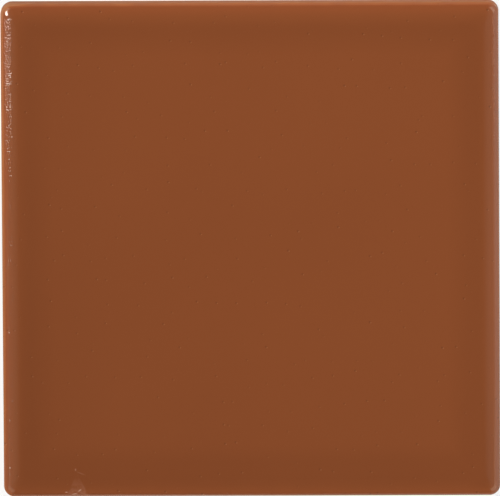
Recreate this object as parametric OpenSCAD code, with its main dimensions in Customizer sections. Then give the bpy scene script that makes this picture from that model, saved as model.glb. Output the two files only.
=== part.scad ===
// Square ceramic floor tile: a dust-pressed body with a glazed, cushion-edged face and a keyed bed.
// It lies flat on its bed. The origin is under its middle, +Z is up through the face.
// All sizes are in millimetres, as fired.

/* [Tile] */
// Width, from side to side along X
tile_w = 108; // [60:1:200]
// Length, from side to side along Y
tile_l = 108; // [60:1:200]
// Thickness, from the bed to the flat of the face
tile_t = 8; // [6:0.5:14]
// Radius of the four corners, seen from above
corner_r = 2.4; // [2:0.1:6]

/* [Cushioned edge] */
// Width of the band in which the face rolls off, measured in from the side
cushion_w = 4.3; // [3:0.1:8]
// Slope that the roll-off has reached where the tight round takes over, in degrees
cushion_slope = 15; // [8:1:30]
// Radius of the tight round, which turns the face down into the side
nose_r = 1.5; // [0.6:0.1:2.4]

/* [Bed] */
// Bevel round the foot of the sides, where the punch met the die
foot_bevel = 0.5; // [0.2:0.1:1]
// Plain border that the keys leave along each side of the bed
bed_border = 6; // [4:0.5:12]
// Distance aimed at from one key to the next, before they are spread evenly
key_pitch = 12; // [8:1:20]
// Width of the rib between two keys, at the bed
rib_w = 2; // [1:0.1:4]
// Depth of a key, which the mortar fills
key_depth = 0.8; // [0.3:0.1:1.5]
// Lean of a key's walls, which lets the punch draw out, in degrees
key_draft = 25; // [5:1:45]
// Radius of a key's corners, at its deepest
key_corner_r = 0.8; // [0.4:0.1:1.6]

/* [Hidden] */
$fn = 96;
// Burnt orange of the glaze
glaze_colour = [0.52, 0.29, 0.17];
// How far a cutting or crossing shape runs past what it meets
past = 1;

// The roll-off and the tight round are two arcs that are tangent to each other,
// the first also to the face and the second to the side, so the width, the slope
// and the tight radius settle the gentle one, which is rounded to a thousandth.
fineness = 0.001;
roll_r = fineness * round((nose_r + (cushion_w - nose_r) / sin(cushion_slope)) / fineness);
meet_slope = asin((cushion_w - nose_r) / (roll_r - nose_r));
roll_z = tile_t - roll_r;
nose_z = roll_z + (roll_r - nose_r) * cos(meet_slope);
// Where the arcs meet, in from the side
meet_in = nose_r * (1 - sin(meet_slope));
// Width of the rim, which holds the whole of the edge and of the corners
rim_w = max(cushion_w, corner_r) + past;

// How much narrower a key is at its deepest than at its mouth, at each wall
key_lean = key_depth * tan(key_draft);
// The keys share the span between the borders. Their count is even, so that two
// ribs cross under the middle of the tile.
function key_field(span) = span - 2 * bed_border + rib_w;
function key_count(span) = 2 * round(key_field(span) / key_pitch / 2);
function key_step(span) = key_field(span) / key_count(span);
function key_places(span) = [
    for (i = [1:key_count(span)]) (i - (key_count(span) + 1) / 2) * key_step(span)
];

// Section through the rim, which reaches in from the side at x = 0. Above the
// straight part of the side, each arc is a disc cut down to its own stretch.
module edge_section() {
    polygon([
        [-rim_w, 0],
        [-foot_bevel, 0],
        [0, foot_bevel],
        [0, nose_z],
        [-cushion_w, nose_z],
        [-cushion_w, tile_t],
        [-rim_w, tile_t]
    ]);
    intersection() {
        translate([-nose_r, nose_z]) circle(nose_r);
        translate([-meet_in, nose_z])
            square([meet_in, nose_r]);
    }
    intersection() {
        translate([-cushion_w, roll_z]) circle(roll_r);
        translate([-cushion_w, nose_z])
            square([cushion_w - meet_in, tile_t - nose_z + past]);
    }
}

// The rim along one side: its ends are square beside the corners' rounds, and
// mitred behind them
module side_rim(along) {
    round_at = along / 2 - corner_r;
    inner_at = along / 2 - rim_w;
    intersection() {
        rotate([90, 0, 0])
            linear_extrude(height = along, center = true)
                edge_section();
        translate([0, 0, -past])
            linear_extrude(height = tile_t + 2 * past)
                polygon([
                    [past, round_at],
                    [-corner_r, round_at],
                    [-rim_w, inner_at],
                    [-rim_w, -inner_at],
                    [-corner_r, -round_at],
                    [past, -round_at]
                ]);
    }
}

// The outer end of the section, turned a quarter of the way round a corner's centre
module corner_rim() {
    rotate_extrude(angle = 90)
        intersection() {
            translate([corner_r, 0]) edge_section();
            square([corner_r, tile_t]);
        }
}

// The pressed blank: a flat middle in a mitred rim
module blank() {
    translate([rim_w - tile_w / 2, rim_w - tile_l / 2, 0])
        cube([tile_w - 2 * rim_w, tile_l - 2 * rim_w, tile_t]);
    for (turn = [0, 180]) {
        rotate(turn)
            translate([tile_w / 2, 0]) side_rim(tile_l);
        rotate(turn + 90)
            translate([tile_l / 2, 0]) side_rim(tile_w);
    }
    for (x = [0, 1], y = [0, 1])
        mirror([x, 0]) mirror([0, y])
            translate([tile_w / 2 - corner_r, tile_l / 2 - corner_r])
                corner_rim();
}

// A bar whose two long walls lean in as they go up
module leaning_bar(width, along) {
    rotate([90, 0, 0])
        linear_extrude(height = along, center = true)
            polygon([
                [-width / 2, 0],
                [width / 2, 0],
                [width / 2 - key_lean, key_depth],
                [key_lean - width / 2, key_depth]
            ]);
}

// One key: two bars that cross, with a cone in each corner that they leave open
module key(width, length) {
    mouth_r = key_corner_r + key_lean;
    leaning_bar(width, length - 2 * mouth_r);
    rotate(90) leaning_bar(length, width - 2 * mouth_r);
    for (x = [-1, 1], y = [-1, 1])
        translate([x * (width / 2 - mouth_r), y * (length / 2 - mouth_r)])
            cylinder(h = key_depth, r1 = mouth_r, r2 = key_corner_r);
}

module keys() {
    for (x = key_places(tile_w), y = key_places(tile_l))
        translate([x, y])
            key(key_step(tile_w) - rib_w, key_step(tile_l) - rib_w);
}

module tile() {
    color(glaze_colour)
        difference() {
            blank();
            keys();
        }
}

tile();
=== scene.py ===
# %% [markdown]
# # A glazed ceramic floor tile
# The tile lies on its bed with its glazed face up. It is one pressed block of clay, so it is
# also one closed surface here: a glazed face with a cushioned edge, glaze run down the
# sides, and bare fired clay below it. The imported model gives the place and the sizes, and
# this lesson works out a finer skin over it, its two finishes, the light and the camera.

import math

import bpy
import numpy as np
from mathutils import Matrix, Vector


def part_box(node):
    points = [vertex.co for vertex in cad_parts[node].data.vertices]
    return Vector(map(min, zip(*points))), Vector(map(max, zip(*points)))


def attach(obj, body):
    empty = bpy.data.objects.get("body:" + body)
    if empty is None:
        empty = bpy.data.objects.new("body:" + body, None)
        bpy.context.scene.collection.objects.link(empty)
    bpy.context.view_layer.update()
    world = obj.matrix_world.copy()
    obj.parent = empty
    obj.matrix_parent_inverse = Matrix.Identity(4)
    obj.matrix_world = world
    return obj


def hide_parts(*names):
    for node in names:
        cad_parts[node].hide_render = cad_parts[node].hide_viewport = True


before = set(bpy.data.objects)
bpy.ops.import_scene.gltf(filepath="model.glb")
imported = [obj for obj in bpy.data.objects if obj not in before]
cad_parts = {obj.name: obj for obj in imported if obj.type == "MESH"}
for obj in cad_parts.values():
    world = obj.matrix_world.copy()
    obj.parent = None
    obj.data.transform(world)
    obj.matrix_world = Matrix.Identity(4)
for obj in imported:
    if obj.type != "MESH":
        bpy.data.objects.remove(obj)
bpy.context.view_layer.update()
low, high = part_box("tile")
print("the packed tile reaches from", tuple(low), "to", tuple(high))

# %% [markdown]
# ## The sizes of the tile
# A tile like this is pressed in a steel die. The die rounds the four corners a little, and
# the punch leaves the face flat up to a cushioned edge: a gentle roll-off that a tight round
# turns down into the side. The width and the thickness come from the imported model. The
# other sizes are the ones that its source names, here in metres.

# %% Name the sizes
MM = 0.001
half = (high.x - low.x) / 2
top = high.z
corner_radius = 2.4 * MM
cushion_width = 4.3 * MM
cushion_slope = math.radians(15)
nose_radius = 1.5 * MM
foot_bevel = 0.5 * MM
bed_border = 6 * MM
key_count = 8
rib_width = 2.0 * MM
key_depth = 0.8 * MM
key_corner = 0.8 * MM
key_draft = math.radians(25)

key_step = (2 * half - 2 * bed_border + rib_width) / key_count
roll_radius = nose_radius + (cushion_width - nose_radius) / math.sin(cushion_slope)
nose_height = top - roll_radius + (roll_radius - nose_radius) * math.cos(cushion_slope)
print(f"the side is straight up to {nose_height / MM:.2f} mm, and the face is at {top / MM:.2f} mm")

# %% [markdown]
# ## One outline, carried up and down the edge
# Seen from above, every level of the edge is a square with round corners. One eighth of it
# is enough to describe: half a side, then half a corner. Its mirror image makes a quarter,
# and three quarter turns make the rest. Treating points as complex numbers turns the
# mirror and the turns into products. A sculpted or bevelled cube would give no say in
# where the points lie. Here they crowd towards the corners, where the form is tight.

# %% The outline
STRAIGHT = 68
ARC = 12
CROWDING = 0.22


def all_round(eighth):
    """Completes rings from their first eighths, which are complex points x + iy from the
    middle of the right side to the diagonal, along the last axis. Swapping x and y, which
    is i times the conjugate, mirrors an eighth. Multiplying by i turns a quarter round."""
    mirrored = 1j * np.conj(eighth[..., -2:0:-1])
    quarter = np.concatenate([eighth, mirrored], axis=-1)
    return np.concatenate([quarter * turn for turn in (1, 1j, -1, -1j)], axis=-1)


def outline(reach, radius, straight=STRAIGHT, arc=ARC, crowding=CROWDING):
    """Squares with round corners. A square reaches as far as reach from the middle to its
    side. On the straight part, the share t of the way to the corner becomes
    (1 + c) t - c t^4, which closes the points up. On the corner, the angle grows evenly."""
    reach = np.asarray(reach, float)[..., None]
    radius = np.asarray(radius, float)[..., None]
    t = np.arange(straight) / straight
    side = reach + 1j * (reach - radius) * ((1 + crowding) * t - crowding * t**4)
    angle = np.linspace(0, math.pi / 4, arc + 1)
    corner = (reach - radius) * (1 + 1j) + radius * np.exp(1j * angle)
    return all_round(np.concatenate([side, corner], axis=-1))


def square_ring(reach, stops):
    """A square with sharp corners whose points lie at the given shares of half its side."""
    reach = np.asarray(reach, float)[..., None]
    return all_round(reach + 1j * reach * stops)


print("one ring has", outline(half, corner_radius).size, "points")

# %% [markdown]
# ## Gentle unevenness
# Nothing that is pressed, glazed and fired is quite even. A sum of a few sine waves with
# random directions makes a soft relief that has no visible repeat and no steps. A noise
# texture would do it in a material, but the meshes should carry the relief themselves.

# %% Soft random relief
def ripples(points, wavelength, seed, count=14):
    """A relief of about -1 to 1 over complex points: the sum of sine waves of that length,
    give or take a third, each in its own direction and with its own start. The sum is
    divided by the root of two and a half times their number, as its size grows with it."""
    rng = np.random.default_rng(seed)
    way = np.exp(1j * rng.uniform(0, 2 * math.pi, count))
    start = rng.uniform(0, 2 * math.pi, count)
    pace = 2 * math.pi / (wavelength * rng.uniform(0.7, 1.4, count))
    along = (points[..., None] * np.conj(way)).real
    return np.sin(along * pace + start).sum(-1) / math.sqrt(2.5 * count)


sample = ripples(outline(half, corner_radius), 15 * MM, seed=1)
print(f"the relief runs from {sample.min():.2f} to {sample.max():.2f}")

# %% [markdown]
# ## The glazed edge
# The section of the edge has two arcs that touch without a kink: a gentle one of about
# 12 mm, then a tight one of 1.5 mm. Each point of the section becomes a ring. The glaze
# softens the form in the corners, where the rings keep a round of their own instead of
# closing to a mitre, so that a highlight can slide through. The rings are listed from the
# face outwards and down, and that order makes the faces point outwards.

# %% Rings from the face to the side
ROLL_RINGS = 12
NOSE_RINGS = 14
CORNER_SOFTENING = 0.25 / MM


def plan_radius(inset):
    """Corner radius of the ring that lies inset from the side: it shrinks as a parallel
    ring's would, by the inset, and grows back with its square."""
    return corner_radius - inset + CORNER_SOFTENING * inset**2


roll_turn = np.linspace(0, cushion_slope, ROLL_RINGS)
nose_turn = np.linspace(cushion_slope, math.pi / 2, NOSE_RINGS + 1)[1:]
edge_inset = np.concatenate([
    cushion_width - roll_radius * np.sin(roll_turn),
    nose_radius * (1 - np.sin(nose_turn)),
])
edge_height = np.concatenate([
    top - roll_radius * (1 - np.cos(roll_turn)),
    nose_height + nose_radius * np.cos(nose_turn),
])
edge_rings = outline(half - edge_inset, plan_radius(edge_inset))
print("the edge has", len(edge_rings), "rings, down to", round(edge_height[-1] / MM, 2), "mm")

# %% [markdown]
# ## The flat of the face
# The face is a square grid, because a grid can carry the faint waves of the glaze. Its
# lines crowd towards the border as the outline's points do, so every point of the border
# has its partner on the edge. Between the two, a few rings pass from the grid's square to
# the round-cornered ring where the roll-off begins.

# %% The grid and the rings round it
GRID_INSET = 9 * MM
MIDDLE_REACH = half - GRID_INSET
BLEND_RINGS = 6
t = np.arange(STRAIGHT) / STRAIGHT
share = 1 - corner_radius / MIDDLE_REACH
stops = np.concatenate([
    share * ((1 + CROWDING) * t - CROWDING * t**4),
    np.linspace(share, 1, ARC + 1),
])
grid_line = MIDDLE_REACH * np.concatenate([-stops[:0:-1], stops])
face_grid = grid_line[None, :] + 1j * grid_line[:, None]

middle_ring = square_ring(MIDDLE_REACH, stops)
blend = np.linspace(0, 1, BLEND_RINGS + 2)[:-1, None]
blend_rings = (1 - blend) * middle_ring + blend * edge_rings[0]
print("the grid is", face_grid.shape, "and", len(blend_rings), "rings lead out of it")

# %% [markdown]
# ## The glaze on the sides, and its lower rim
# Glaze is poured or sprayed on the face and runs down the sides. It stops short of the
# foot in a wandering line, because the last millimetres are wiped clean so that the tile
# doesn't stick to the kiln shelf. Where it stops, the melt draws itself into a small round
# lip, a tenth of a millimetre proud of the bare clay. So the rings of the side follow that
# line instead of lying level. Each ring is kept as its heights and its insets from the
# side, in one value for every point of the outline.

# %% Rings from the nose to the lip
SIDE_RINGS = 9
LIP_RINGS = 5
glaze_rim_height = 1.9 * MM
slow_wander = 0.34 * MM
quick_wander = 0.10 * MM
lip_radius = 0.11 * MM
sag = 0.03 * MM

rim = outline(half, corner_radius)
rim_height = glaze_rim_height + slow_wander * ripples(rim, 22 * MM, seed=2)
rim_height = rim_height + quick_wander * ripples(rim, 5 * MM, seed=3)

# Added to a level ring, it gives that ring one value for each point of the outline
level = np.zeros(rim.size)

down = np.linspace(0, 1, SIDE_RINGS + 1)[1:, None]
side_height = nose_height + (rim_height + lip_radius - nose_height) * down
bow = sag * (0.5 + 0.5 * ripples(rim, 9 * MM, seed=4)) * np.sin(math.pi * down)
side_inset = np.clip(bow, 0, None)

lip_turn = np.linspace(0, math.pi / 2, LIP_RINGS + 1)[1:, None]
lip_height = rim_height + lip_radius * (1 - np.sin(lip_turn))
lip_inset = lip_radius * (1 - np.cos(lip_turn)) + level
print(f"the glaze ends between {rim_height.min() / MM:.2f} and {rim_height.max() / MM:.2f} mm up")

# %% [markdown]
# ## The bare foot
# Below the lip the pressed clay is bare. It is a little uneven, like fine sandpaper, and a
# small bevel keeps the foot from chipping. These rings go on from the lip's last one. Then
# all the rings of the side are placed at once: each point of the outline moves towards the
# middle, along its own line, by its inset.

# %% Rings from the lip to the bed
BARE_RINGS = 8
BEVEL_RINGS = 3
skin_depth = 1.15 * lip_radius
clay_unevenness = 0.02 * MM

bare_down = np.linspace(0, 1, BARE_RINGS + 1)[:, None]
bare_height = rim_height + (foot_bevel - rim_height) * bare_down
pressed = clay_unevenness * ripples(rim, 3 * MM, seed=5) * np.sin(math.pi * bare_down)
bare_inset = skin_depth + pressed
bevel_down = np.linspace(0, 1, BEVEL_RINGS + 1)[1:, None]
bevel_inset = skin_depth + (foot_bevel - skin_depth) * bevel_down + level
bevel_height = foot_bevel * (1 - bevel_down) + level

lower_inset = np.concatenate([side_inset, lip_inset, bare_inset, bevel_inset])
lower_height = np.concatenate([side_height, lip_height, bare_height, bevel_height])
towards_middle = outline(half - MM, corner_radius - MM) - rim
lower_rings = rim + towards_middle * lower_inset / MM
glazed_lower = SIDE_RINGS + LIP_RINGS
print(len(lower_rings), "rings on the side, of which the glaze covers", glazed_lower)

# %% [markdown]
# ## The bed
# The underside holds shallow square keys, pressed by the punch, which the mortar fills.
# Their walls lean so that the punch draws out, and their corners are round. One key is a
# short stack of rings that ends in a little grid, and the same arrays shifted to 64 places
# make them all. Neighbouring cells share the middle line of the rib between them.

# %% One key, as rings and a grid
CELL_STOPS = 5
KEY_FILLET = 0.16 * MM
FLOOR_SHARE = 0.8
mouth = (key_step - rib_width) / 2
lean = math.tan(key_draft)
root = mouth - lean * key_depth
ease = 0.25 * KEY_FILLET
runout = 1.2 * KEY_FILLET
even_stops = np.linspace(0, 1, CELL_STOPS + 1)


def key_ring(reach, radius):
    """A small outline whose eighth has 3 points on the straight and 3 on the corner, which
    gives it as many points as the square border of its cell."""
    return outline(reach, radius, straight=3, arc=2, crowding=0)


# Reach and height down one wall: rib, round lip, leaning wall, round root, floor
key_reach = np.array([
    mouth + KEY_FILLET,
    mouth + ease,
    mouth - lean * KEY_FILLET,
    root + lean * KEY_FILLET,
    root - ease,
    root - runout,
])
key_height = np.array([
    0, ease, KEY_FILLET, key_depth - KEY_FILLET, key_depth - ease, key_depth])
floor_reach = FLOOR_SHARE * root
key_radius = key_corner + lean * (key_depth - key_height)
cell_rings = np.concatenate([
    square_ring([key_step / 2], even_stops),
    key_ring(key_reach, key_radius),
    square_ring([floor_reach], even_stops),
])
cell_height = np.concatenate([[0], key_height, [key_depth]])
floor_line = floor_reach * np.linspace(-1, 1, 2 * CELL_STOPS + 1)
floor_grid = floor_line[None, :] + 1j * floor_line[:, None]

places = (np.arange(key_count) - (key_count - 1) / 2) * key_step
centres = (places[None, :] + 1j * places[:, None]).ravel()
ring_count, ring_points = cell_rings.shape
print(centres.size, "cells, each with", ring_count, "rings of", ring_points, "points")

# %% [markdown]
# ## Joining the patches
# Every patch is a block of rows and columns, so one rule turns any of them into four-sided
# faces. The patches meet point on point, and welding joins the points that share a place.
# Afterwards every edge has to belong to exactly two faces, which proves that the skin is
# closed.

# %% Faces from rows and columns
patches = []


def add_patch(points, height, coat, finish, closed):
    """Keeps one patch: complex points and heights in rows and columns, the thickness of
    the glaze at each, and the finish. A closed patch joins its last column to its first.
    Faces run from a row to the next one, then on along the columns."""
    points, height, coat = np.broadcast_arrays(points, height, coat)
    rows, columns = points.shape
    index = np.arange(rows * columns).reshape(rows, columns)
    ahead = np.roll(index, -1, axis=1) if closed else index[:, 1:]
    here = index if closed else index[:, :-1]
    quads = np.stack([here[:-1], here[1:], ahead[1:], ahead[:-1]], axis=-1).reshape(-1, 4)
    place = np.stack([points.real, points.imag, height], axis=-1).reshape(-1, 3)
    patches.append((place, quads, coat.ravel(), np.full(len(quads), finish)))


print("patches so far:", len(patches))

# %% [markdown]
# ## How thick the glaze lies
# The melt draws back from a sharp edge and gathers beside it. So the coat is even on the
# flat, a little thick in a band round it, thin over the nose and down the side, and
# thinnest at the lip. The coat is also thinner along the left side and a little thicker
# along the right and far sides. Along the near side it is thicker as well, which darkens
# that edge as painted shade. The material turns the thickness into colour: thin glaze
# lets the pale clay through. Each point keeps it as an attribute, where 1 is the even coat.

# %% The coat, from the side inwards and down
coat_inset = np.array([0, 0.4, 0.9, 1.6, 2.6, 3.6, 4.6, 6.0, 8.5, 11.5]) * MM
coat_share = np.array([0.42, 0.50, 0.66, 0.84, 0.95, 1.00, 1.05, 1.07, 1.04, 1.0])
SIDE_COAT = 0.46
LIP_COAT = 0.12


def fading(distance, reach):
    """A share that is 1 at no distance and fades exponentially over its reach."""
    return np.exp(-distance / reach)


def band(distance, middle, width):
    """A share that is 1 in the middle of a band and fades on both sides as a bell curve."""
    return np.exp(-((distance - middle) / width) ** 2)


def coat_at(inset, points):
    """Thickness of the glaze: the even share for a distance in from the side, with some
    more along the right and the far side, more along the near side as painted shade, less
    along the left side and in the corners, and a small ripple. Each of these is an amount
    times a share that fades."""
    even = np.interp(inset, coat_inset, coat_share)
    both_insets = 2 * half - abs(points.real) - abs(points.imag)
    corner_loss = 0.25 * fading(both_insets, 1.6 * MM)
    from_left, from_right, from_far = half + points.real, half - points.real, half - points.imag
    right_gain = 0.15 * fading(from_right, 2.5 * MM)
    far_gain = 0.06 * band(from_far, 0.9 * MM, 0.4 * MM)
    left_strip = band(from_left, 1.5 * MM, 0.5 * MM) * np.clip(inset / MM, 0, 1)
    left_loss = 0.105 * fading(from_left, 2.5 * MM) + 0.12 * left_strip
    # Painted shade: a thicker, darker coat along the near side stands in for the shade on the edge that
    # faces away from the light.
    near_painted_shade = 0.14 * np.clip(-points.imag / half, 0, 1) ** 3 * fading(inset, 5 * MM)
    unevenness = 0.03 * ripples(points, 6 * MM, seed=6) * fading(inset, 1.5 * MM)
    return even + right_gain + far_gain + near_painted_shade - left_loss - corner_loss + unevenness


def square_inset(points):
    """Distance in from the nearest side: half the width, less the larger of |x| and |y|."""
    return half - np.maximum(abs(points.real), abs(points.imag))


edge_coat = coat_at(edge_inset[:, None], edge_rings)
blend_inset = cushion_width + (1 - blend) * (GRID_INSET - cushion_width)
blend_coat = coat_at(blend_inset, blend_rings)
face_coat = coat_at(square_inset(face_grid), face_grid)
side_coat = edge_coat[-1] + (SIDE_COAT - edge_coat[-1]) * np.sin(math.pi / 2 * down)
lip_coat = SIDE_COAT + (LIP_COAT - SIDE_COAT) * np.sin(lip_turn)
print(f"the coat runs from {edge_coat.min():.2f} on the nose to {edge_coat.max():.2f} behind it")

# %% [markdown]
# ## The waves of the face
# A fired glaze is level to a few hundredths of a millimetre. The waves are far too low to
# see as such, but they bend reflections, and that is what makes a glazed face look glazed
# when it is seen from the side. They fade out over the rounded edge, and they only go down,
# so that the tile keeps its thickness.

# %% Lay out all the patches
GLAZE, CLAY = 0, 1
WAVE = 0.016 * MM
STRIP_WIDTH = 1.5 * MM


def wavy(points, strength=1.0):
    """Height of the face: the flat, less a wave's height times a share from 0 to 1. Two
    reliefs, one long and one short, move that share up and down round a half."""
    relief = 0.5 + 0.35 * ripples(points, 26 * MM, seed=7) + 0.15 * ripples(points, 9 * MM, seed=8)
    return top - WAVE * strength * np.clip(relief, 0, 1)


def uneven_bed(points):
    """How far the bed rises off the flat it rests on: half the clay's unevenness, give or
    take half of it times a relief, and never below the flat."""
    return clay_unevenness * np.clip(0.5 + 0.5 * ripples(points, 7 * MM, seed=9), 0, 1)


add_patch(face_grid.T, wavy(face_grid).T, face_coat.T, GLAZE, closed=False)
fade = np.linspace(1, 0, len(edge_rings))[:, None]
upper = np.concatenate([blend_rings, edge_rings])
upper_height = np.concatenate([
    wavy(blend_rings), edge_height[:, None] - top + wavy(edge_rings, fade)])
upper_coat = np.concatenate([blend_coat, edge_coat])
glazed = np.concatenate([upper, lower_rings[:glazed_lower]])
glazed_height = np.concatenate([upper_height, lower_height[:glazed_lower]])
glazed_coat = np.concatenate([upper_coat, side_coat + level, lip_coat + level])
add_patch(glazed, glazed_height, glazed_coat, GLAZE, closed=True)

field = key_count * key_step / 2
border_stops = np.linspace(0, 1, STRAIGHT + ARC + 1)
border = square_ring([field + STRIP_WIDTH], border_stops)
foot = np.concatenate([lower_rings[glazed_lower - 1:], border])
foot_height = np.concatenate([lower_height[glazed_lower - 1:], uneven_bed(border)])
add_patch(foot, foot_height, 0.0, CLAY, closed=True)
print("the face, the glazed edge and the bare foot make", len(patches), "patches")

# %% [markdown]
# ## From the fine border to the keys
# The outer rings have twice as many points as the edge of the field of keys. One strip of
# triangles takes up the difference: each pair of short steps outside meets one long step
# inside. Such a strip is easy to hide on a flat, so it lies on the plain border of the bed.

# %% The strip, the cells and their floors
field_ring = square_ring(field, border_stops[::2])


def add_strip(outer, inner, finish):
    """Joins a ring to one of half as many points. Around inner point k, the outer points
    2k - 1, 2k and 2k + 1 fan out, and one more triangle bridges to inner point k + 1."""
    k = np.arange(inner.size)
    after = (k + 1) % inner.size
    fine = 2 * k
    inside = outer.size
    fans = [
        np.stack([fine, inside + k, (fine + 1) % outer.size], axis=-1),
        np.stack([(fine + 1) % outer.size, inside + k, inside + after], axis=-1),
        np.stack([(fine + 1) % outer.size, inside + after, (fine + 2) % outer.size], axis=-1),
    ]
    points = np.concatenate([outer, inner])
    place = np.stack([points.real, points.imag, uneven_bed(points)], axis=-1)
    triangles = np.concatenate(fans)
    corners = np.concatenate([triangles, triangles[:, -1:]], axis=-1)
    patches.append((place, corners, np.zeros(len(points)), np.full(len(corners), finish)))


add_strip(border[0], field_ring, CLAY)
for centre in centres:
    rings = centre + cell_rings
    floor = centre + floor_grid
    add_patch(rings, cell_height[:, None] + uneven_bed(rings), 0.0, CLAY, closed=True)
    add_patch(floor, key_depth + uneven_bed(floor), 0.0, CLAY, closed=False)
print(len(patches), "patches")

# %% [markdown]
# ## Welding
# The patches are strung together with their numbers shifted, points are rounded to a tenth
# of a micrometre, and equal ones become one. Blender could merge doubles itself, but here
# the faces are still plain numbers, so one search does it for all of them.

# %% Weld the patches
WELD = 1e-7
counts = np.array([len(place) for place, _, _, _ in patches])
starts = np.concatenate([[0], np.cumsum(counts)[:-1]])
place = np.concatenate([p[0] for p in patches])
quads = np.concatenate([p[1] + start for p, start in zip(patches, starts)])
coat = np.concatenate([p[2] for p in patches])
finish = np.concatenate([p[3] for p in patches])

_, first, same = np.unique(np.round(place / WELD).astype(np.int64), axis=0,
                           return_index=True, return_inverse=True)
same = same.reshape(-1)
place, coat, quads = place[first], coat[first], same[quads]
print(f"{counts.sum()} points were laid out, and {len(place)} are left after welding")

# %% [markdown]
# ## The mesh
# A mesh keeps flat lists: its points, the corners of all its faces in a row, and where each
# face starts in that row. A triangle was kept as a quad whose last corner repeats, so it
# is cut back to three corners here. The coat goes along as an attribute of the points, and
# each face names its finish.

# %% Fill the mesh
is_triangle = quads[:, 3] == quads[:, 2]
sizes = np.where(is_triangle, 3, 4)
corners = quads.ravel()[(np.arange(4) < sizes[:, None]).ravel()]

mesh = bpy.data.meshes.new("glazed_tile")
mesh.vertices.add(len(place))
mesh.vertices.foreach_set("co", place.ravel())
mesh.loops.add(len(corners))
mesh.loops.foreach_set("vertex_index", corners)
mesh.polygons.add(len(sizes))
mesh.polygons.foreach_set("loop_start", np.concatenate([[0], np.cumsum(sizes)[:-1]]))
mesh.polygons.foreach_set("material_index", finish)
mesh.update(calc_edges=True)
mesh.validate(verbose=True)
mesh.shade_smooth()
thickness = mesh.attributes.new("coat", "FLOAT", "POINT")
thickness.data.foreach_set("value", coat.astype(np.float32))

tile = bpy.data.objects.new("glazed_tile", mesh)
bpy.context.scene.collection.objects.link(tile)
print("the mesh has", len(mesh.polygons), "faces, of which", is_triangle.sum(), "are triangles")

# %% [markdown]
# ## Is the skin closed?
# Every edge of a closed skin lies between two faces, and they run along it in opposite
# directions. The volume that the faces enclose, by the divergence theorem, is positive
# when they face outwards.

# %% Measure the mesh
mesh.calc_loop_triangles()
triangle = np.empty(3 * len(mesh.loop_triangles), np.int32)
mesh.loop_triangles.foreach_get("vertices", triangle)
a, b, c = place[triangle.reshape(-1, 3)].transpose(1, 0, 2)
volume = np.einsum("ij,ij->i", a, np.cross(b, c)).sum() / 6
uses = np.zeros(len(mesh.edges), int)
edge_of = np.empty(len(mesh.loops), np.int32)
mesh.loops.foreach_get("edge_index", edge_of)
np.add.at(uses, edge_of, 1)
print(len(mesh.loop_triangles), "triangles,", (uses != 2).sum(), "open edges,",
      f"{volume * 1e6:.2f} cubic centimetres")

# %% [markdown]
# ## Small helpers for materials
# A material is a graph of nodes. Two short functions keep it readable: one adds a node and
# fills or links its inputs by name, the other starts a material with its main shader.

# %% Node helpers
def add(tree, kind, inputs=None, **settings):
    """Adds a shader node. Each input, given by name, is filled with a number or a colour,
    or linked when it is another node's output. The settings are the node's own options."""
    node = tree.nodes.new("ShaderNode" + kind)
    for name, value in settings.items():
        setattr(node, name, value)
    for name, value in (inputs or {}).items():
        if isinstance(value, bpy.types.NodeSocket):
            tree.links.new(value, node.inputs[name])
        else:
            node.inputs[name].default_value = value
    return node


def new_material(name, **constants):
    """A material with only its main shader, whose sockets take the constants by name."""
    material = bpy.data.materials.new(name)
    material.use_nodes = True
    shader = material.node_tree.nodes["Principled BSDF"]
    for socket, value in constants.items():
        shader.inputs[socket.replace("_", " ")].default_value = value
    return material, material.node_tree, shader


print("two helpers make materials:", add.__name__, "and", new_material.__name__)

# %% [markdown]
# ## Values in a material
# The rest of the work is arithmetic on values that differ from point to point: a sum or a
# product, a colour read along a ramp, or one range carried to another. Each is one node,
# and a function for it lets a finish read like a formula.

# %% Sums, ramps and ranges
def math_node(tree, operation, first, second=0.0, clamp=False):
    """The result of one sum, product or other operation on two values."""
    node = add(tree, "Math", operation=operation, use_clamp=clamp)
    for socket, value in zip(node.inputs, (first, second)):
        if isinstance(value, bpy.types.NodeSocket):
            tree.links.new(value, socket)
        else:
            socket.default_value = value
    return node.outputs[0]


def ramp(tree, value, stops):
    """Colours along a value from 0 to 1, straight lines between (place, colour) stops."""
    node = add(tree, "ValToRGB", {"Fac": value})
    elements = node.color_ramp.elements
    while len(elements) < len(stops):
        elements.new(0.5)
    for element, (place_on, colour) in zip(elements, stops):
        element.position = place_on
        element.color = (*colour, 1)
    return node.outputs["Color"]


def fit_range(tree, value, start, end, low_value=0.0, high_value=1.0):
    """The value, carried in a straight line from start..end to low..high, and held at the
    low and the high value beyond the two ends."""
    node = add(tree, "MapRange", {"Value": value, "From Min": start, "From Max": end,
                                  "To Min": low_value, "To Max": high_value})
    return node.outputs["Result"]


print("three more work on values:", [f.__name__ for f in (math_node, ramp, fit_range)])
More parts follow.
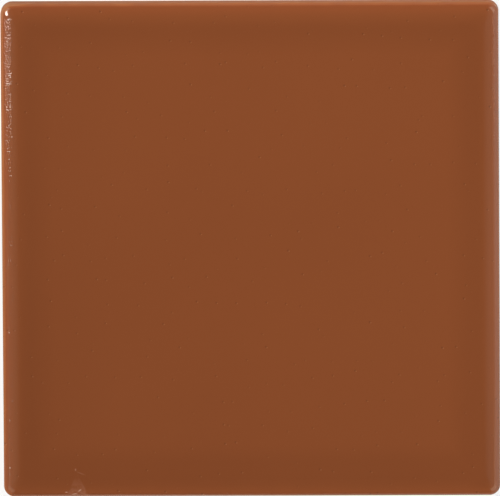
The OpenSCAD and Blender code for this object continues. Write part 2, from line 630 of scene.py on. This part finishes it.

# %% [markdown]
# ## The glaze: its colour
# A burnt-orange iron glaze is opaque where it lies thick, and lets the pale clay warm it up
# where it is thin. So the colour is read off the coat attribute, along a ramp. Reading it
# off the slope of the surface would miss the corners and the lip, where the coat is thin
# for other reasons. On top come three slow drifts of the brightness: painted light that is
# brighter towards one corner and darker towards the opposite one, a band along the left
# that is darker, and soft clouds over it all.

# %% Glaze colour
COAT_FULL = 1.25
glaze, tree, shader = new_material("burnt_orange_glaze", IOR=1.6)
coordinates = add(tree, "TexCoord").outputs["Object"]
place_on_tile = add(tree, "SeparateXYZ", {"Vector": coordinates}).outputs
coat_value = add(tree, "Attribute", attribute_name="coat").outputs["Fac"]
coat_colour = ramp(tree, math_node(tree, "DIVIDE", coat_value, COAT_FULL), [
    (0.10, (0.50, 0.25, 0.12)),
    (0.336, (0.46, 0.160, 0.063)),
    (0.40, (0.36, 0.102, 0.037)),
    (0.528, (0.292, 0.083, 0.031)),
    (0.672, (0.276, 0.080, 0.029)),
    (0.76, (0.258, 0.0765, 0.0275)),
    (0.80, (0.247, 0.0730, 0.0260)),
    (0.856, (0.230, 0.0678, 0.0240)),
])
slant = math_node(tree, "ADD", place_on_tile["X"], math_node(tree, "MULTIPLY", place_on_tile["Y"], 0.7))
# Painted light and shade: the colour is brighter towards the far right corner and darker towards the
# near left one.
painted_light_drift = fit_range(tree, slant, -85 * MM, 60 * MM, 0.935, 1.035)
left_band = fit_range(tree, place_on_tile["X"], -50 * MM, -28 * MM, 0.955, 1.0)
clouds = add(tree, "TexNoise", {"Vector": coordinates, "Scale": 28.0, "Detail": 3.0}).outputs["Fac"]
tone = math_node(tree, "MULTIPLY", math_node(tree, "MULTIPLY", painted_light_drift, left_band),
                 fit_range(tree, clouds, 0.3, 0.7, 0.985, 1.015))
toned = add(tree, "HueSaturation", {"Color": coat_colour, "Value": tone}).outputs["Color"]
print("the glaze colour takes", len(tree.nodes), "nodes")

# %% [markdown]
# ## The glaze: pinholes, with painted light and shade
# Gas that leaves the melt late breaks its surface and leaves pinholes, tiny craters a
# quarter of a millimetre across. A cell pattern sets one at random in each cell, and the
# colour of the cell says how clear it is. Each is a pale dot with a dark one beside it: a
# painted highlight on the lit wall and painted shade on the shaded wall. The same pattern,
# moved over a little, makes the dark one.

# %% Pinholes
PIT_SCALE = 190.0


def dots(vector, inner, outer):
    """Soft dots, one in each cell, that fade out from the inner to the outer distance from
    the cell's point, and the cell's own random value."""
    pattern = add(tree, "TexVoronoi", {"Vector": vector, "Scale": PIT_SCALE},
                  voronoi_dimensions="2D").outputs
    return fit_range(tree, pattern["Distance"], inner, outer, 1.0, 0.0), pattern["Color"]


LIT_WALL = (0.50, 0.27, 0.16, 1)
SHADED_WALL = (0.12, 0.033, 0.012, 1)
pale_dot, cell_value = dots(coordinates, 0.016, 0.036)
pit_share = fit_range(tree, cell_value, 0.15, 0.90)
pit = math_node(tree, "MULTIPLY", pale_dot, pit_share)
beside = add(tree, "Mapping", {"Vector": coordinates, "Location": (0.24 * MM, -0.14 * MM, 0)})
dark_dot, _ = dots(beside.outputs["Vector"], 0.022, 0.055)
# Painted highlight: the pale dot is the lit wall of each pinhole. Painted shade: the dark dot beside it
# is the shaded wall.
lit = add(tree, "MixRGB", {"Fac": math_node(tree, "MULTIPLY", pit, 0.34),
                           "Color1": toned, "Color2": LIT_WALL}).outputs["Color"]
shade = math_node(tree, "MULTIPLY", math_node(tree, "MULTIPLY", dark_dot, pit_share), 0.50)
lit_and_shaded_pits = add(tree, "MixRGB", {"Fac": shade, "Color1": lit, "Color2": SHADED_WALL}).outputs["Color"]
print(f"a pinhole every {1000 / PIT_SCALE:.1f} mm or so")

# %% [markdown]
# ## The glaze: a small blemish
# Near one corner the glaze has a fault: a pale wedge that widens towards the edge, some
# flakes in it, and a short hairline above it. The wedge is a simple rule on two distances.
# The hairline, its nick and the flakes are soft oval spots. A painted picture could show
# all this too, but it would tie the finish to one layout of the surface.

# %% Blemish
def spot(x, y, length, width, turn=0.0):
    """A soft oval spot on the face, in millimetres and degrees. It is 1 less the distance
    from its middle, measured in its own half-axes, and 0 from its rim on."""
    placed = add(tree, "Mapping", {
        "Vector": coordinates, "Location": (x * MM, y * MM, 0),
        "Rotation": (0, 0, math.radians(turn)), "Scale": (length * MM, width * MM, 1),
    }, vector_type="TEXTURE").outputs["Vector"]
    return add(tree, "TexGradient", {"Vector": placed}, gradient_type="SPHERICAL").outputs["Fac"]


SCAR_MIDDLE = -38 * MM
SCAR_COLOUR = (0.45, 0.21, 0.15, 1)
BARE_COLOUR = (0.62, 0.36, 0.27, 1)
scar_way = fit_range(tree, place_on_tile["Y"], -47.6 * MM, -53.7 * MM)
off_middle = math_node(tree, "ABSOLUTE", math_node(tree, "SUBTRACT", place_on_tile["X"], SCAR_MIDDLE))
scar_width = fit_range(tree, scar_way, 0.2, 1.0, 0.15 * MM, 2.6 * MM)
inside = fit_range(tree, math_node(tree, "DIVIDE", off_middle, scar_width), 0.8, 1.0, 1.0, 0.0)
crumbs = add(tree, "TexNoise", {"Vector": coordinates, "Scale": 900.0, "Detail": 3.0}).outputs["Fac"]
wedge = math_node(tree, "MULTIPLY",
                  math_node(tree, "MULTIPLY", inside, math_node(tree, "POWER", scar_way, 2.2)),
                  fit_range(tree, crumbs, 0.4, 0.6, 0.25, 1.0))
scar = math_node(tree, "MULTIPLY", wedge, fit_range(tree, place_on_tile["Z"], 6.4 * MM, 7.2 * MM))
scarred = add(tree, "MixRGB", {"Fac": math_node(tree, "MULTIPLY", scar, 0.42),
                               "Color1": lit_and_shaded_pits, "Color2": SCAR_COLOUR}).outputs["Color"]

hairline = math_node(tree, "MULTIPLY", spot(-37.2, -48.7, 1.3, 0.16, -22), 0.16)
nick = math_node(tree, "MULTIPLY", spot(-38.35, -47.9, 0.22, 0.35), 0.4)
two_flakes = math_node(tree, "ADD", spot(-37.5, -52.5, 0.55, 0.22, 40),
                       spot(-38.6, -53.3, 0.7, 0.22, 15))
flakes = math_node(tree, "ADD", two_flakes, spot(-40.4, -52.9, 0.4, 0.2), clamp=True)
pale = math_node(tree, "ADD", math_node(tree, "ADD", hairline, nick),
                 math_node(tree, "MULTIPLY", flakes, 0.8), clamp=True)
marked = add(tree, "MixRGB", {"Fac": pale, "Color1": scarred, "Color2": BARE_COLOUR}).outputs["Color"]
tree.links.new(marked, shader.inputs["Base Color"])
print(f"the blemish lies {(half + SCAR_MIDDLE) / MM:.0f} mm from one side")

# %% [markdown]
# ## The glaze: orange peel and grains
# Under a lamp the skin of a glaze shows two fine reliefs. The whole face has a very faint
# orange peel. Along the edge, where the coat is thin, grains stick up, most of all near one
# corner, and each throws back its own glint. Grains come from noise above a threshold,
# which rises from the far side to the near one, so that they thin out. The corner itself
# stays smooth. The grains are far finer than the mesh, so a bump carries them.

# %% Fine relief
peel = add(tree, "TexNoise", {"Vector": coordinates, "Scale": 2300.0, "Detail": 2.0}).outputs["Fac"]
peeled = add(tree, "Bump", {"Height": peel, "Distance": 0.0012 * MM}).outputs["Normal"]
grit = add(tree, "TexNoise", {"Vector": coordinates, "Scale": 2700.0, "Detail": 0.0}).outputs["Fac"]
thinning = fit_range(tree, place_on_tile["Y"], 12 * MM, 42 * MM, -0.27, 0.015)
all_grains = fit_range(tree, math_node(tree, "ADD", grit, thinning), 0.43, 0.67)
edge_share = fit_range(tree, coat_value, 0.80, 0.93, 1.0, 0.0)
below_corner = fit_range(tree, place_on_tile["Y"], 50.4 * MM, 51.2 * MM, 1.0, 0.10)
where = math_node(tree, "MULTIPLY", edge_share, below_corner)
grains = math_node(tree, "MULTIPLY", all_grains, where)
gritty = add(tree, "Bump", {"Height": grains, "Distance": 0.027 * MM,
                            "Normal": peeled}).outputs["Normal"]
depth = math_node(tree, "ADD", math_node(tree, "MULTIPLY", pit, 0.012),
                  math_node(tree, "MULTIPLY", math_node(tree, "ADD", scar, pale), 0.06))
pitted = add(tree, "Bump", {"Height": depth, "Distance": MM, "Normal": gritty}, invert=True)
tree.links.new(pitted.outputs["Normal"], shader.inputs["Normal"])
print("the glaze takes", len(tree.nodes), "nodes so far")

# %% [markdown]
# ## The glaze: its gloss
# The thick coat is as smooth as glass. On the sides, where little glaze runs down, it soaks
# into the clay and dries out, so it is nearly matt there. The coat attribute says how dull
# it is, and the grains take off some gloss as well, more so away from the far left corner.
# In that corner the nose stays glossy, though the coat is thin there.

# %% Gloss
dry = fit_range(tree, coat_value, 0.45, 0.60, 1.0, 0.0)
corner_gloss = math_node(tree, "MULTIPLY", fit_range(tree, spot(-51.6, 51.9, 3.0, 3.0), 0.0, 0.4),
                         fit_range(tree, place_on_tile["Z"], 6.8 * MM, 7.2 * MM))
dull = math_node(tree, "SUBTRACT", dry, corner_gloss, clamp=True)
grain_roughness = fit_range(tree, place_on_tile["Y"], 25 * MM, 45 * MM, 0.32, 0.16)
roughness = math_node(tree, "MAXIMUM", fit_range(tree, dull, 0.0, 1.0, 0.05, 0.5),
                      math_node(tree, "MULTIPLY", grains, grain_roughness))
tree.links.new(roughness, shader.inputs["Roughness"])
tree.links.new(fit_range(tree, dull, 0.0, 1.0, 0.5, 0.03), shader.inputs["Specular IOR Level"])
print("gloss is read from the coat and the grains")

# %% [markdown]
# ## The bare clay
# The fired body shows at the foot and on the bed. It is matt, a little sandy, and buff with
# darker grains of iron. Two sizes of noise give the sand and the soft clouds of the firing,
# and a cell pattern scatters the grains.

# %% Clay material
clay, tree, shader = new_material("buff_fired_clay", Roughness=0.82, IOR=1.5)
coordinates = add(tree, "TexCoord").outputs["Object"]
IRON_BROWN = (0.16, 0.085, 0.05, 1)
firing = add(tree, "TexNoise", {"Vector": coordinates, "Scale": 60.0, "Detail": 4.0}).outputs["Fac"]
body_colour = ramp(tree, firing, [
    (0.30, (0.50, 0.345, 0.215)),
    (0.50, (0.56, 0.40, 0.255)),
    (0.72, (0.62, 0.46, 0.31)),
])
sand = add(tree, "TexNoise", {"Vector": coordinates, "Scale": 2400.0, "Detail": 3.0}).outputs["Fac"]
sanded = add(tree, "HueSaturation", {
    "Color": body_colour, "Value": fit_range(tree, sand, 0.3, 0.7, 0.90, 1.08)}).outputs["Color"]
cells = add(tree, "TexVoronoi", {"Vector": coordinates, "Scale": 900.0}).outputs
iron = math_node(tree, "MULTIPLY",
                 fit_range(tree, cells["Distance"], 0.12, 0.24, 1.0, 0.0),
                 fit_range(tree, cells["Color"], 0.62, 0.80))
flecked = add(tree, "MixRGB", {"Fac": math_node(tree, "MULTIPLY", iron, 0.6),
                               "Color1": sanded, "Color2": IRON_BROWN}).outputs["Color"]
tree.links.new(flecked, shader.inputs["Base Color"])
rough_skin = add(tree, "Bump", {"Height": sand, "Distance": 0.05 * MM})
tree.links.new(rough_skin.outputs["Normal"], shader.inputs["Normal"])
print("clay nodes:", len(tree.nodes))

mesh.materials.append(glaze)
mesh.materials.append(clay)

# %% [markdown]
# ## The floor
# The tile lies on a plain pale floor that runs far out. A floor lit like the tile would look
# grey, so rays from the camera also see a share of plain white in it. Near the tile that
# share is a little smaller, which keeps the shadow. Farther out it grows to all, so that the
# floor passes into the white surroundings without a line. Nothing else sees that white, so
# it doesn't light or tint the sides of the tile.

# %% Floor
FLOOR_HALF = 6.0
floor_mesh = bpy.data.meshes.new("floor")
floor_mesh.from_pydata([(-FLOOR_HALF, -FLOOR_HALF, 0), (FLOOR_HALF, -FLOOR_HALF, 0),
                        (FLOOR_HALF, FLOOR_HALF, 0), (-FLOOR_HALF, FLOOR_HALF, 0)], [], [(0, 1, 2, 3)])
floor_board = bpy.data.objects.new("floor", floor_mesh)
bpy.context.scene.collection.objects.link(floor_board)

white_floor, tree, shader = new_material("white_floor", Roughness=0.9, Specular_IOR_Level=0.0)
shader.inputs["Base Color"].default_value = (0.86, 0.86, 0.86, 1)
seen = add(tree, "LightPath").outputs["Is Camera Ray"]
coordinates = add(tree, "TexCoord").outputs["Object"]
away = add(tree, "VectorMath", {0: coordinates}, operation="LENGTH").outputs["Value"]
whiteness = fit_range(tree, away, 0.12, 0.9, 0.84, 1.0)
glow = add(tree, "Emission", {"Color": (1, 1, 1, 1), "Strength": 1.0}).outputs["Emission"]
mixed = add(tree, "MixShader", {0: math_node(tree, "MULTIPLY", seen, whiteness),
                                1: shader.outputs["BSDF"], 2: glow}).outputs["Shader"]
tree.links.new(mixed, tree.nodes["Material Output"].inputs["Surface"])
floor_mesh.materials.append(white_floor)
print("the floor is", 2 * FLOOR_HALF, "m wide")

# %% [markdown]
# ## The surroundings
# A glazed face mirrors whatever is above it. Seen from nearly straight above, a bright
# ceiling would lay a grey veil over its colour. So the surroundings are dark overhead and
# paler low down on the left and right, where only the rounded edges look. At the horizon
# they are white, to go on from the floor. Reflections see a dim, warm brown in its place,
# which keeps the colour of the face when it is seen from low down.

# %% Surroundings
scene = bpy.context.scene
world = bpy.data.worlds.new("surroundings")
world.use_nodes = True
scene.world = world
tree = world.node_tree
way = add(tree, "SeparateXYZ", {"Vector": add(tree, "TexCoord").outputs["Generated"]}).outputs
across = ramp(tree, fit_range(tree, way["X"], -1.0, 1.0), [
    (0.00, (0.38, 0.33, 0.29)),
    (0.34, (0.36, 0.33, 0.25)),
    (0.44, (0.04, 0.04, 0.04)),
    (0.56, (0.04, 0.04, 0.04)),
    (0.65, (0.24, 0.26, 0.25)),
    (0.72, (0.24, 0.28, 0.26)),
    (0.80, (0.68, 0.77, 0.73)),
    (1.00, (0.92, 1.00, 1.00)),
])
DIM_BROWN = (0.44, 0.32, 0.23, 1)
camera_ray = add(tree, "LightPath").outputs["Is Camera Ray"]
far_off = add(tree, "MixRGB", {"Fac": camera_ray, "Color1": DIM_BROWN,
                               "Color2": (1, 1, 1, 1)}).outputs["Color"]
low_down = fit_range(tree, way["Z"], 0.25, 0.05)
horizon = add(tree, "MixRGB", {"Fac": 1.0, "Color1": far_off, "Color2": low_down},
              blend_type="MULTIPLY").outputs["Color"]
brightness = add(tree, "MixRGB", {"Fac": 1.0, "Color1": across, "Color2": horizon},
                 blend_type="LIGHTEN").outputs["Color"]
tree.links.new(brightness, tree.nodes["Background"].inputs["Color"])
print("the surroundings take", len(tree.nodes), "nodes")

# %% [markdown]
# ## The lamps
# Four warm soft boxes stand round the tile, low enough that the flat of the face doesn't
# mirror them to the camera. They aim at the middle, and show only as faint arcs in the
# corners. The key lamp stands higher, off to the left and a little towards the far side.
# The edge mirrors it in one place only, the glint at the far left corner, and the grains
# catch it along the side. Its turn about its own axis sets which way the glint leans.

# %% Lamps
WARM = (1.0, 0.86, 0.66)


def soft_box(name, place_at, aim_at, size, power, colour=WARM, turn=0.0):
    """A rectangular lamp. Its -Z axis runs from its place to the point it aims at, and it
    is turned by the given angle about that axis."""
    light = bpy.data.lights.new(name, "AREA")
    light.shape = "RECTANGLE"
    light.color = colour
    light.size, light.size_y = size
    light.energy = power
    lamp = bpy.data.objects.new(name, light)
    lamp.location = place_at
    facing = (Vector(aim_at) - lamp.location).to_track_quat("-Z", "Y").to_matrix()
    lamp.rotation_euler = (facing @ Matrix.Rotation(turn, 3, "Z")).to_euler()
    scene.collection.objects.link(lamp)


middle = (0, 0, top)
far_left_corner = (-half, half, top)
soft_box("key", (-0.70, 0.27, 1.23), far_left_corner, (0.46, 0.30), 9.5,
         colour=(1.0, 0.95, 0.88), turn=math.radians(30))
soft_box("far_right", (0.66, 0.42, 0.75), middle, (0.65, 0.65), 2.1)
soft_box("near_right", (0.55, -0.55, 0.75), middle, (0.6, 0.6), 1.2)
soft_box("near_left", (-0.55, -0.55, 0.75), middle, (0.6, 0.6), 0.8)
soft_box("far_left", (-0.55, 0.55, 0.75), middle, (0.6, 0.6), 1.7)

# %% [markdown]
# ## The camera
# The tile is seen almost from straight above, from four metres away through a long lens, so
# its sides stay nearly parallel. The camera stands seven and a half degrees towards the far
# side and one towards the right, and it is turned a third of a degree about its own axis.
# Three directions, backward, rightward and upright, make up its matrix.

# %% Camera
DISTANCE = 4.0
LENS = 1325.3
lean_back = math.radians(7.56)
lean_right = math.radians(1.135)
roll = math.radians(-0.357)
aim = Vector((-0.19 * MM, 0.08 * MM, 4 * MM))
backward = Vector((math.tan(lean_right), math.tan(lean_back), 1)).normalized()
rightward = Vector((-math.sin(roll), math.cos(roll), 0)).cross(backward).normalized()
upright = backward.cross(rightward)

camera_data = bpy.data.cameras.new("camera")
camera_data.lens = LENS
camera_data.clip_start, camera_data.clip_end = 0.1, 20
camera = bpy.data.objects.new("camera", camera_data)
axes = Matrix((rightward, upright, backward)).transposed().to_4x4()
camera.matrix_world = Matrix.Translation(aim + backward * DISTANCE) @ axes
scene.collection.objects.link(camera)
scene.camera = camera
scene.view_settings.view_transform = "Standard"
print(f"the camera stands {camera.location.z:.2f} m up")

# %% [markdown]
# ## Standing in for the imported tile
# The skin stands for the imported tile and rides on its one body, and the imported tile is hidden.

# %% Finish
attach(tile, "root")
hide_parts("tile")
